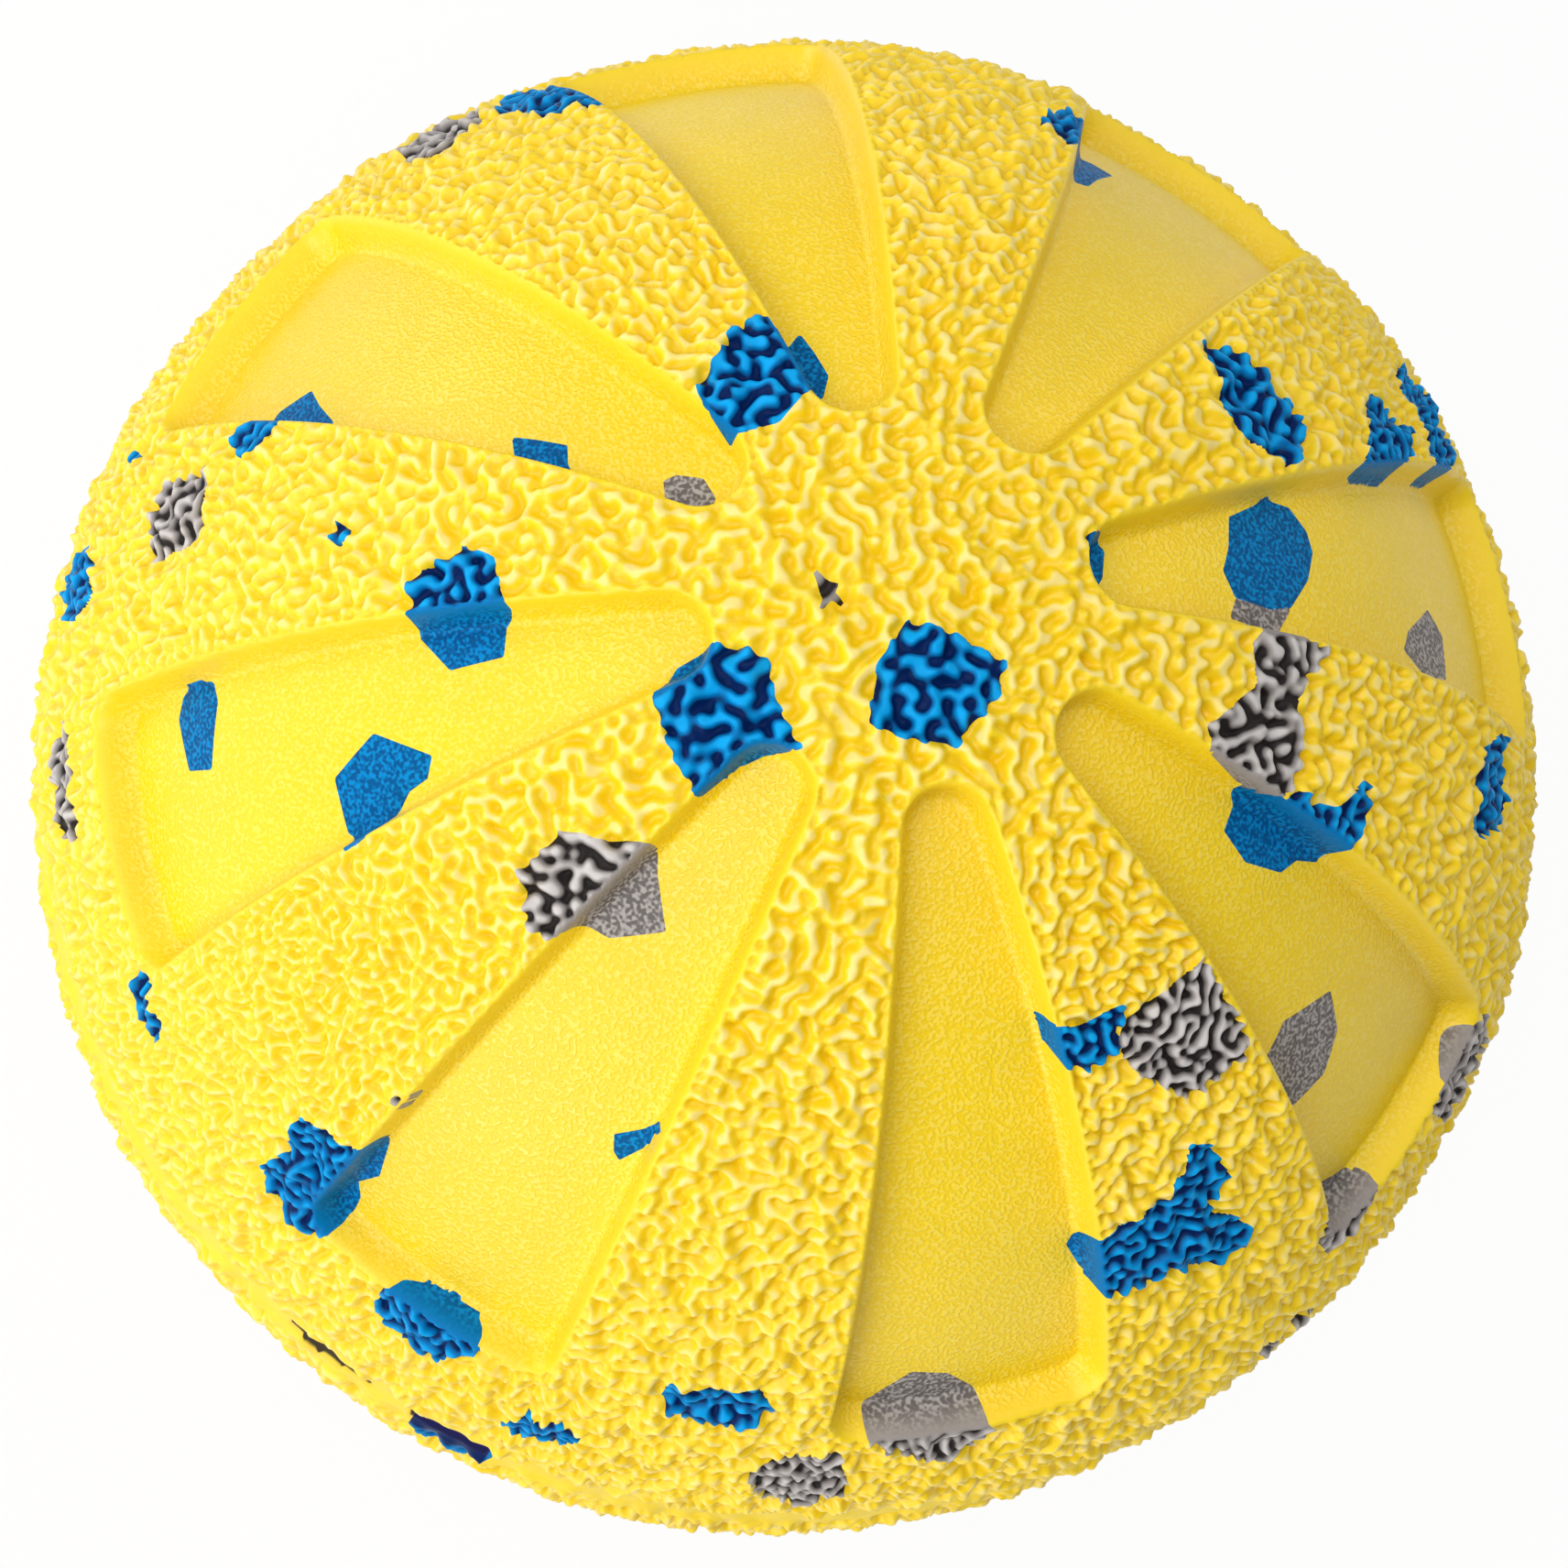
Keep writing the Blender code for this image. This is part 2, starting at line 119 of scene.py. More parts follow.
# The worm-like ridges of the ribs: distance from ridge to ridge at the hub and towards the seam, and the
# polar angles between which it changes
HUB_PITCH = 0.00118
RIM_PITCH = 0.00092
HUB_POLAR = math.radians(20)
RIM_POLAR = math.radians(60)

# Their height, the level among them at the ball's radius, and how their pattern is grown and broken
RIDGE_RELIEF = 0.00042
RIDGE_SEAT = 1.2
RIDGE_ROUNDS = 3
RIDGE_GAIN = 1.6
RIDGE_BREAKS = 0.05
RIDGE_FOOT = -1.6
RIDGE_TOP = 1.6
RIDGE_ROUNDNESS = 0.5
RIDGE_SEED = 12

# The plain lip along a panel's edge: its height among the ridges, and where the ridges begin
LIP_LEVEL = 0.72
LIP_FROM = 0.0001
LIP_TO = 0.0003

# Fineness of the skin: parts along each side of an icosahedron, and how that is turned
SKIN_FREQUENCY = 320
SKIN_TURN = Euler((0.31, 0.52, 0.17))

# Points in one small cell are one point: cells to the radius, and bits for a cell's number
CELLS_PER_RADIUS = 500000
CELL_BITS = 21

# Noise is spread from neighbour to neighbour: how many a point has, the share that leaves the mean of all
# seven, the rounds for waves one spacing apart, how much longer a coarse copy is spread, and a field's limit
NEIGHBOURS = 6
EVEN_SHARE = NEIGHBOURS / (NEIGHBOURS + 1)
WAVE_ROUNDS = 0.0546
COARSE_RATIO = 3
FIELD_LIMIT = 2

# How far a flake fills its pocket's gap, how its edge follows the ridges, and how deep a chip goes
FLAKE_GROWTH = 0.00015
EDGE_SCALLOP = 0.00011
CHIP_DEPTH = 0.0008

# How a flake's base is told from its sides, the digits that tell its corners apart, and the reach round
# its corners, in radians, in which points are measured
BASE_FLATNESS = 0.00005
CORNER_DIGITS = 6
FLAKE_MARGIN = 0.05

# Chips too small to be pieces of the solid model: colour and corners as (azimuth, polar) in degrees
CHIPS = [
    ("blue", [(276.7, 46.6), (279.2, 45), (280, 44.2), (280.8, 42.4), (280.9, 43.5), (280, 46.6),
              (278.4, 48.5), (277.5, 48)]),
    ("blue", [(279.8, 81), (280, 79.2), (281, 77.8), (281.2, 76.1), (282, 77), (283, 76.4), (284, 76),
              (284.5, 77), (285.8, 77.1), (285, 79.3), (284, 80.6), (282.5, 80.2), (281.4, 81.4)]),
    ("grey", [(351.2, 67.8), (354.4, 70), (355, 70.2), (354.6, 70.5), (352.8, 72), (350.8, 72),
              (349.8, 72.8), (348, 72.1), (347.3, 69.3), (348.2, 68), (348.6, 65)]),
    ("blue", [(202, 43.4), (203.4, 41.6), (204.3, 42), (205, 42.7), (204, 43.6)]),
    ("blue", [(192.3, 73.5), (193, 72), (193.8, 73), (193.2, 74)]),
    ("blue", [(235.1, 71.8), (236.5, 71.7), (238, 71.9), (240.2, 72.2), (240.6, 74.2), (239.5, 74.8),
              (238.2, 74.5), (237, 73.7), (235.6, 73)]),
    ("blue", [(54.4, 14.4), (55, 16.2), (51.4, 17), (44, 16.2), (40.5, 15.4), (39, 14.2), (45.3, 13.8)]),
    ("grey", [(198.2, 7.1), (206.7, 5.8), (210.6, 4.7), (217.6, 5), (237.1, 3.9), (223.1, 5.3),
              (232.5, 6.6), (220.9, 5.9), (214.5, 6.1)]),
    ("grey", [(348, 84.4), (346, 84.4), (345.2, 85), (344.8, 81), (346.2, 81.7)]),
    ("grey", [(344.8, 84.6), (343.6, 87), (342, 84.2), (342.3, 82.6), (343.3, 82.5)]),
    ("grey", [(257.7, 53.7), (258.4, 53.6), (258.5, 54.4), (257.8, 54.5)]),
    ("grey", [(258.8, 51.8), (259.2, 53), (259.2, 55), (258.8, 54.8)]),
]

# Foam colours: painted highlight on crests, plain skin, painted shade in valleys and painted shade in the
# open seam; the level at which a valley has its full painted shade; how strongly the grain's dips and bumps
# take the painted shade and highlight; the shine
FOAMS = {
    "yellow": {
        "crest_highlight": (0.92, 0.73, 0.210), "skin": (0.90, 0.65, 0.010), "valley_shade": (0.88, 0.59, 0.001),
        "gap_shade": (0.030, 0.016, 0.003), "valley_shade_level": 0.05, "grain": 0.60, "shine": 0.50,
    },
    "blue": {
        "crest_highlight": (0.004, 0.36, 0.78), "skin": (0.001, 0.17, 0.45), "valley_shade": (0.001, 0.015, 0.09),
        "gap_shade": (0.012, 0.012, 0.07), "valley_shade_level": 0.25, "grain": 0.55, "shine": 0.06,
    },
    "grey": {
        "crest_highlight": (0.60, 0.57, 0.55), "skin": (0.32, 0.29, 0.275), "valley_shade": (0.020, 0.016, 0.015),
        "gap_shade": (0.012, 0.010, 0.010), "valley_shade_level": 0.25, "grain": 0.60, "shine": 0.10,
    },
}

# Levels among the ridges between which the painted shade of the valleys, the painted highlight of the
# crests and the painted shade of the open seam come in, and the roughness of the open seam
VALLEY_SHADE_FROM = 0.78
CREST_HIGHLIGHT_LEVELS = (0.70, 1.05)
GAP_SHADE_LEVELS = (-0.2, -0.9)
GAP_ROUGHNESS = 0.95

# The grain of the smooth faces: its size, and the noise that makes its dips and bumps; the dips are
# also painted with shade and the bumps painted with highlight
GRAIN_PITCH = 0.00032
GRAIN_HEIGHT = 0.000026
GRAIN_DIPS = (0.66, 0.34)
GRAIN_HIGHLIGHTS = (0.50, 0.72)

# Faint paler clouds, the satin skin's roughness, and the noise of both
CLOUD_PITCH = 0.006
CLOUD_DETAIL = 3.0
CLOUD_PALENESS = 1.05
SATIN_PITCH = 0.0007
SATIN_DETAIL = 2.0
SATIN_ROUGHNESS = (0.34, 0.46)
NOISE_SPAN = (0.3, 0.7)
NOISE_WAVES = 1.6

# The photograph's camera: where it stands round the ball, how far off, and its lens
CAMERA_AZIMUTH = math.radians(-87.3)
CAMERA_ELEVATION = math.radians(73.6)
CAMERA_ROLL = math.radians(31.8)
CAMERA_DISTANCE = 0.40
CAMERA_LENS = 171.5
CAMERA_SENSOR = 36.0
CAMERA_NEAR = 0.01
PHOTO_SIDE = 1712
BALL_BELOW_MIDDLE = 2.2

# The white floor and the even light all round
FLOOR_SIZE = 6.0
FLOOR_GREY = 0.86
FLOOR_ROUGHNESS = 0.8
FLOOR_WHITENESS = 0.93
WORLD_STRENGTH = 0.20

# Soft square lamps: how far each stands right of, above and nearer than the ball, as seen; size and power
LAMP_DISTANCE = 0.7
LAMPS = {
    "key_light": ((-0.8, 0.6, 0.2), 0.45, 2.0),
    "low_light": ((-0.7, -0.7, 0.5), 0.45, 2.4),
    "front_light": ((-0.2, 0.0, 0.95), 0.6, 3.4),
    "right_light": ((0.6, 0.65, 0.5), 1.0, 2.4),
}

# The flat map for baking: where a half's pole lies and how far its skin reaches, a flake's margin and size,
# and the corner that all faces inside the ball share
BAKE_MAP = "OFBake"
MAP_MIDDLE = 0.5
HALF_MAP_REACH = 0.46
FLAKE_MAP_MARGIN = 0.02
FLAKE_MAP_SIZE = 0.92
HIDDEN_MAP_CORNER = ((0.965, 0.965), (0.99, 0.965), (0.965, 0.99))

# The fields' value at a half's centre, which nothing shows, and the least length that is divided by
HIDDEN_FIELD = 0.5
LEAST_LENGTH = 1e-9


# Skin mesh

def geodesic_sphere(frequency):
    """Unit points and outward triangles of an icosahedron with each face split evenly."""
    bm = bmesh.new()
    bmesh.ops.create_icosphere(bm, subdivisions=1, radius=1.0)
    corners = np.array([[v.co for v in face.verts] for face in bm.faces])
    bm.free()

    row, step = np.meshgrid(np.arange(frequency + 1), np.arange(frequency + 1), indexing="ij")
    inside = row + step <= frequency
    index = np.full(inside.shape, -1)
    index[inside] = np.arange(inside.sum())
    weights = np.stack([frequency - row - step, row, step], axis=-1)[inside] / frequency
    upright = np.stack([index[:-1, :-1], index[1:, :-1], index[:-1, 1:]], axis=-1)
    inverted = np.stack([index[1:, :-1], index[1:, 1:], index[:-1, 1:]], axis=-1)
    pattern = np.concatenate([upright.reshape(-1, 3), inverted.reshape(-1, 3)])
    pattern = pattern[(pattern >= 0).all(axis=1)]

    points = np.concatenate([weights @ triangle for triangle in corners])
    faces = np.concatenate([pattern + len(weights) * i for i in range(len(corners))])
    points /= np.linalg.norm(points, axis=1, keepdims=True)
    cells = np.round((points + 1) * CELLS_PER_RADIUS).astype(np.int64)
    keys = (cells[:, 0] << 2 * CELL_BITS) + (cells[:, 1] << CELL_BITS) + cells[:, 2]
    _, first, merged = np.unique(keys, return_index=True, return_inverse=True)
    return points[first], merged[faces]


def neighbour_table(faces, count):
    """The six points round each point; the few with five have the last of them twice."""
    starts = faces.ravel()
    ends = np.roll(faces, -1, axis=1).ravel()
    degree = np.bincount(starts, minlength=count)
    first = np.cumsum(degree) - degree
    picks = first[:, None] + np.minimum(np.arange(NEIGHBOURS), degree[:, None] - 1)
    return ends[np.argsort(starts, kind="stable")][picks]


def mesh_edges(faces):
    """Each edge of a closed mesh once, as a pair of points."""
    starts = faces.ravel()
    ends = np.roll(faces, -1, axis=1).ravel()
    once = starts < ends
    return starts[once], ends[once]


def snap(points, edges, values, fixed):
    """Moves points on to the line where values change sign, so that no edge crosses it.

    A point that is fixed stays, and counts as lying on the line. Moved points become fixed.
    """
    start, end = edges
    crossing = values[start] * values[end] < 0
    start = start[crossing]
    end = end[crossing]
    share = values[start] / (values[start] - values[end])
    meeting = points[start] + (points[end] - points[start]) * share[:, None]
    meeting /= np.linalg.norm(meeting, axis=1, keepdims=True)
    moved = np.where(share > 0.5, end, start)
    nearest_last = np.argsort(-np.minimum(share, 1 - share))
    moved = moved[nearest_last]
    meeting = meeting[nearest_last]
    free = ~fixed[moved]
    points[moved[free]] = meeting[free]
    values[moved] = 0
    fixed[moved] = True


# Shape of the skin

def smoothstep(low, high, values):
    """Zero up to low, one from high, and a smooth rise between."""
    share = np.clip((values - low) / (high - low), 0, 1)
    return share * share * (3 - 2 * share)


def soft_ramp(values, softness):
    """Zero below zero and rising one to one above, with a rounded turn."""
    turn = (values + softness) ** 2 / (4 * softness)
    return np.where(values < -softness, 0, np.where(values > softness, values, turn))


def panel_distance(points):
    """Length along the skin to the nearest panel's edge, below zero inside the panel.

    It is measured on the flat map tan(polar / 2), where meridians are rays and circles stay circles.
    """
    reach = np.tan(np.arccos(np.abs(points[:, 2]).clip(max=1)) / 2)
    azimuth = np.arctan2(points[:, 1], points[:, 0])
    spacing = 2 * math.pi / PANEL_COUNT
    azimuth -= spacing * np.round(azimuth / spacing)
    x = reach * np.cos(azimuth)
    y = np.abs(reach * np.sin(azimuth))

    inner = math.tan(PANEL_INNER_POLAR / 2)
    outer = math.tan(PANEL_OUTER_POLAR / 2)
    cos_half = math.cos(PANEL_HALF_WIDTH)
    sin_half = math.sin(PANEL_HALF_WIDTH)
    round_centre = inner / (1 - sin_half)
    along = x * cos_half + y * sin_half
    at_round_end = along < round_centre * cos_half
    from_round = np.hypot(x - round_centre, y) - (round_centre - inner)
    from_side = np.where(at_round_end, from_round, y * cos_half - x * sin_half)

    corner = PANEL_CORNER_RADIUS * (1 + outer ** 2) / (2 * BALL_RADIUS)
    past_side = from_side + corner
    past_end = reach - outer + corner
    distance = np.minimum(np.maximum(past_side, past_end), 0) - corner
    distance += np.hypot(np.maximum(past_side, 0), np.maximum(past_end, 0))
    return distance * 2 * BALL_RADIUS / (1 + reach ** 2)


def spread(values, near, share, times):
    """Moves each point's value a share of the way to its neighbours' mean, again and again."""
    for _ in range(times):
        values = values + share * (values[near].mean(axis=1) - values)
    return values


def point_spacing(points):
    """Distance between neighbours in an even mesh of the ball."""
    return BALL_RADIUS * math.sqrt(8 * math.pi / math.sqrt(3) / len(points))


def rounds_for(pitch, spacing):
    """How often noise is spread for its waves to be a pitch apart."""
    return max(1, round(WAVE_ROUNDS * (pitch / spacing) ** 2))


def swell_field(points, near):
    """Smooth random swells about a pitch apart, from about -2 to 2."""
    times = rounds_for(SWELL_PITCH, point_spacing(points))
    noise = np.random.default_rng(SWELL_SEED).standard_normal(len(points)).astype(np.float32)
    smooth = spread(noise, near, EVEN_SHARE, times)
    smooth = smooth - spread(smooth, near, EVEN_SHARE, COARSE_RATIO * times)
    return np.clip(smooth / smooth.std(), -FIELD_LIMIT, FIELD_LIMIT)


def lump_height(points):
    """Height of the soft lumps and dents of the outline."""
    height = np.zeros(len(points))
    for azimuth, polar, reach, top in LUMPS:
        apart = 2 - 2 * points @ np.array(direction(azimuth, polar))
        height += top * np.exp(-apart / math.radians(reach) ** 2)
    return height


def ridge_field(points, near):
    """Short bent ridges, below zero in the valleys, that meet the panels' edges squarely."""
    polar = np.arccos(np.abs(points[:, 2]).clip(max=1))
    pitch = HUB_PITCH + (RIM_PITCH - HUB_PITCH) * smoothstep(HUB_POLAR, RIM_POLAR, polar)
    share = (EVEN_SHARE * (pitch / HUB_PITCH) ** 2).astype(np.float32)
    times = rounds_for(HUB_PITCH, point_spacing(points))
    in_panel = panel_distance(points) < 0
    near = np.where(in_panel[near] == in_panel[:, None], near, np.arange(len(points))[:, None])
    field = np.random.default_rng(RIDGE_SEED).standard_normal(len(points)).astype(np.float32)
    for _ in range(RIDGE_ROUNDS):
        narrow = spread(field, near, share, times)
        band = (narrow - spread(narrow, near, share, COARSE_RATIO * times)) * share ** 0.5
        band = band / band.std() - RIDGE_BREAKS
        field = np.tanh(RIDGE_GAIN * band)
    return np.clip(band, -FIELD_LIMIT, FIELD_LIMIT)


def skin_shape(points, ridges, swells):
    """Each point's distance from the centre, its level in the ridges, its share of them and of the grain.

    The level runs from 0 in a valley to 1 on a ridge, and below 0 in the open seam; the material paints
    shade in valleys and in the open seam and highlight on ridges from it.
    """
    panel = panel_distance(points)
    from_seam = BALL_RADIUS * np.arcsin(np.abs(points[:, 2]).clip(max=1))
    wall = soft_ramp(-panel, EDGE_SOFTNESS) - soft_ramp(-panel - PANEL_WALL_RUN, FOOT_SOFTNESS)
    groove_share = np.minimum(from_seam / GROOVE_HALF_WIDTH, 1)
    swollen = smoothstep(SWELL_FROM_SEAM, GROOVE_HALF_WIDTH, from_seam)
    ridged = smoothstep(LIP_FROM, LIP_TO, panel)
    ridges_from = GROOVE_HALF_WIDTH + RIDGES_FROM
    ridges_to = GROOVE_HALF_WIDTH + RIDGES_TO
    ridged *= smoothstep(ridges_from, ridges_to, from_seam + RIDGES_SHIFT * swells)
    grained = smoothstep(0.0, PANEL_WALL_RUN, -panel)
    rise = np.clip((ridges - RIDGE_FOOT) / (RIDGE_TOP - RIDGE_FOOT), 0, 1)
    rounded = 1 + RIDGE_ROUNDNESS - RIDGE_ROUNDNESS * rise
    level = ridged * rise * rounded + (1 - ridged) * LIP_LEVEL
    # The pits lower the level, which sinks the skin and brings in the valleys' painted shade
    for azimuth, polar, reach, sunk in PITS:
        apart = 2 - 2 * points @ np.array(direction(azimuth, polar))
        level *= 1 - sunk * np.exp(-apart / math.radians(reach) ** 2)
    radius = BALL_RADIUS + RIDGE_RELIEF * (level - RIDGE_SEAT)
    radius -= wall * PANEL_DEPTH / PANEL_WALL_RUN
    radius -= GROOVE_DEPTH * (1 + np.cos(math.pi * groove_share)) / 2
    off_panel = smoothstep(0, SWELL_FROM_PANEL, panel)
    radius += lump_height(points) + SWELL_HEIGHT * swells * off_panel * swollen
    radius -= SEAM_DEPTH * np.maximum(1 - from_seam / SEAM_HALF_WIDTH, 0)
    turn = np.degrees(np.arctan2(points[:, 1], points[:, 0])) % 360
    for start, end, reach, depth in SHADED_SEAM_SPANS:
        notch_and_shade_share = smoothstep(0, OPEN_SEAM_ENDS, turn - start) * smoothstep(0, OPEN_SEAM_ENDS, end - turn)
        notch_and_shade_share *= np.where(points[:, 2] <= 0, np.maximum(1 - from_seam / reach, 0), 0)
        radius -= depth * notch_and_shade_share
        # A level below zero brings in the painted shade of the gap colour
        level = level - OPEN_SEAM_SHADE_FALL * notch_and_shade_share
    return radius, level, ridged, grained


# Flakes

def direction(azimuth, polar):
    """Unit vector from the ball's centre, with azimuth from +X and polar from +Z, in degrees."""
    a = math.radians(azimuth)
    p = math.radians(polar)
    return (math.sin(p) * math.cos(a), math.sin(p) * math.sin(a), math.cos(p))


def base_outline(node):
    """Corners of a flake's base as directions from the ball's centre, in order, and the base's radius."""
    mesh = node.data
    mesh.calc_loop_triangles()
    points = [v.co for v in mesh.vertices]
    base_radius = min(p.length for p in points)
    edges = set()
    for triangle in mesh.loop_triangles:
        corners = [points[i] for i in triangle.vertices]
        if max(p.length for p in corners) > base_radius + BASE_FLATNESS:
            continue
        keys = [tuple(round(x, CORNER_DIGITS) for x in p) for p in corners]
        for a, b in zip(keys, keys[1:] + keys[:1]):
            if (b, a) in edges:
                edges.remove((b, a))
            else:
                edges.add((a, b))
    following = dict(edges)
    loop = [min(following)]
    while following[loop[-1]] != loop[0]:
        loop.append(following[loop[-1]])
    outline = np.array(loop)
    return outline / np.linalg.norm(outline, axis=1, keepdims=True), base_radius


def list_flakes():
    """Every flake: its name, colour, outline, growth and, for one that is in the solid model, its base."""
    flakes = []
    for name, node in sorted(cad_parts.items()):
        if "flake" in name:
            outline, base_radius = base_outline(node)
            flakes.append((name, name.split("_")[0], outline, FLAKE_GROWTH, base_radius))
    for number, (colour, corners) in enumerate(CHIPS, 1):
        outline = np.array([direction(*corner) for corner in corners])
        flakes.append((f"{colour}_chip_{number:02d}", colour, outline, 0.0, None))
    return flakes


def tangent_axes(centre):
    """Two directions square to a centre direction and to each other."""
    across = np.cross((0.0, 0.0, 1.0), centre)
    across /= np.linalg.norm(across)
    return across, np.cross(centre, across)


def outline_distance(points, outline):
    """Length from each point to an outline on the ball, below zero inside it."""
    centre = outline.mean(axis=0)
    centre /= np.linalg.norm(centre)
    axes = np.stack(tangent_axes(centre), axis=1)
    at = points @ axes / (points @ centre)[:, None]
    corners = outline @ axes / (outline @ centre)[:, None]
    nearest = np.full(len(at), np.inf)
    inside = np.zeros(len(at), bool)
    for a, b in zip(corners, np.roll(corners, -1, axis=0)):
        side = b - a
        share = np.clip((at - a) @ side / (side @ side), 0, 1)
        nearest = np.minimum(nearest, np.linalg.norm(at - a - share[:, None] * side, axis=1))
        spans = (a[1] > at[:, 1]) != (b[1] > at[:, 1])
        if spans.any():
            reach = a[0] + (at[:, 1] - a[1]) / (b[1] - a[1]) * side[0]
            inside ^= spans & (at[:, 0] < reach)
    return BALL_RADIUS * np.where(inside, -nearest, nearest)


def place_flakes(points, ridges, ridged, flakes):
    """For each point, its length outside the nearest flake and that flake's number."""
    outside = np.full(len(points), BALL_RADIUS)
    owner = np.full(len(points), -1)
    for number, (_, _, outline, growth, _) in enumerate(flakes):
        centre = outline.mean(axis=0)
        centre /= np.linalg.norm(centre)
        reach = np.arccos((outline @ centre).min()) + FLAKE_MARGIN
        near = np.flatnonzero(points @ centre > math.cos(reach))
        distance = outline_distance(points[near], outline) - growth
        if growth > 0:
            distance -= EDGE_SCALLOP * np.tanh(ridges[near]) * ridged[near]
        distance = np.maximum(distance, -BALL_RADIUS * points[near, 2] * np.sign(centre[2]))
        closer = distance < outside[near]
        outside[near[closer]] = distance[closer]
        owner[near[closer]] = number
    return outside, owner


# Pieces

def rim_edges(faces):
    """Directed edges that only one face of a patch has."""
    starts = faces.ravel().astype(np.int64)
    ends = np.roll(faces, -1, axis=1).ravel().astype(np.int64)
    step = faces.max() + 1
    alone = ~np.isin(starts * step + ends, ends * step + starts)
    return starts[alone], ends[alone]


def mark_sharp(mesh, faces, groups):
    """Keeps the shading of each group of faces apart."""
    count = len(mesh.vertices)
    ends = np.roll(faces, -1, axis=1)
    keys = (np.minimum(faces, ends).astype(np.int64) * count + np.maximum(faces, ends)).ravel()
    order = np.argsort(keys, kind="stable")
    pairs = keys[order].reshape(-1, 2)
    sides = np.repeat(groups, 3)[order].reshape(-1, 2)
    sharp_keys = pairs[sides[:, 0] != sides[:, 1], 0]
    edges = np.empty(len(mesh.edges) * 2, np.int32)
    mesh.edges.foreach_get("vertices", edges)
    edges = np.sort(edges.reshape(-1, 2), axis=1).astype(np.int64)
    sharp = np.isin(edges[:, 0] * count + edges[:, 1], sharp_keys)
    mesh.attributes.new("sharp_edge", "BOOLEAN", "EDGE").data.foreach_set("value", sharp)


def make_piece(name, points, faces, groups, flat_map, attributes, material):
    """A piece from arrays. Group 0 is its skin; the others lie inside the ball and share a map corner."""
    mesh = bpy.data.meshes.new(name)
    mesh.vertices.add(len(points))
    mesh.vertices.foreach_set("co", points.astype(np.float32).ravel())
    mesh.loops.add(faces.size)
    mesh.loops.foreach_set("vertex_index", faces.astype(np.int32).ravel())
    mesh.polygons.add(len(faces))
    mesh.polygons.foreach_set("loop_start", np.arange(0, faces.size, 3, dtype=np.int32))
    mesh.update(calc_edges=True)
    mark_sharp(mesh, faces, groups)
    for label, values in attributes.items():
        layer = mesh.attributes.new(label, "FLOAT", "POINT")
        layer.data.foreach_set("value", values.astype(np.float32))
    places = flat_map[faces]
    places[groups > 0] = HIDDEN_MAP_CORNER
    mesh.uv_layers.new(name=BAKE_MAP).uv.foreach_set("vector", places.astype(np.float32).ravel())
    mesh.materials.append(material)
    piece = bpy.data.objects.new(name, mesh)
    bpy.context.scene.collection.objects.link(piece)
    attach(piece, "root")
    return piece


def flake_piece(name, skin, patch, base_radius, material):
    """A closed flake: its patch of skin, its sides and its base."""
    used, local = np.unique(patch, return_inverse=True)
    local = local.reshape(patch.shape)
    count = len(used)
    a, b = rim_edges(local)
    walls = np.concatenate([np.stack([b, a, a + count], 1), np.stack([b, a + count, b + count], 1)])
    faces = np.concatenate([local, walls, local[:, ::-1] + count])
    groups = np.repeat((0, 1, 2), (len(local), len(walls), len(local)))
    directions = skin["directions"][used]
    points = np.concatenate([skin["points"][used], directions * base_radius])

    centre = directions.mean(axis=0)
    flat = directions @ np.stack(tangent_axes(centre / np.linalg.norm(centre)), axis=1)
    flat -= flat.min(axis=0)
    flat = FLAKE_MAP_MARGIN + FLAKE_MAP_SIZE * flat / flat.max()
    attributes = {label: np.tile(skin[label][used], 2) for label in ("relief", "grained")}
    return make_piece(name, points, faces, groups, np.tile(flat, (2, 1)), attributes, material)


def half_piece(name, skin, shell, pockets, material):
    """A closed half: its yellow skin, the pockets under its flakes and its flat face at the seam."""
    whole = np.concatenate([shell, pockets])
    used, local = np.unique(whole, return_inverse=True)
    local = local.reshape(whole.shape)
    count = len(used)
    skin_faces = local[:len(shell)]
    pocket_faces = local[len(shell):]
    a, b = rim_edges(pocket_faces)
    walls = np.concatenate([np.stack([a, b, b + count], 1), np.stack([a, b + count, a + count], 1)])
    c, d = rim_edges(local)
    seam = np.stack([d, c, np.full(len(c), 2 * count)], axis=1)
    faces = np.concatenate([skin_faces, walls, pocket_faces + count, seam])
    groups = np.repeat((0, 1, 2, 3), (len(skin_faces), len(walls), len(pocket_faces), len(seam)))
    directions = skin["directions"][used]
    floors = directions * skin["pocket_radius"][used, None]
    points = np.concatenate([skin["points"][used], floors, np.zeros((1, 3))])

    fine = np.zeros(len(points), bool)
    fine[faces.ravel()] = True
    renumber = np.cumsum(fine) - 1
    from_pole = np.sqrt(np.maximum(1 - np.abs(directions[:, 2]), 0))
    from_axis = np.linalg.norm(directions[:, :2], axis=1)
    flat = directions[:, :2] / np.maximum(from_axis, LEAST_LENGTH)[:, None]
    flat = MAP_MIDDLE + HALF_MAP_REACH * flat * from_pole[:, None]
    flat = np.concatenate([flat, flat, np.zeros((1, 2))])[fine]
    attributes = {
        label: np.append(np.tile(skin[label][used], 2), HIDDEN_FIELD)[fine]
        for label in ("relief", "grained")
    }
    return make_piece(name, points[fine], renumber[faces], groups, flat, attributes, material)


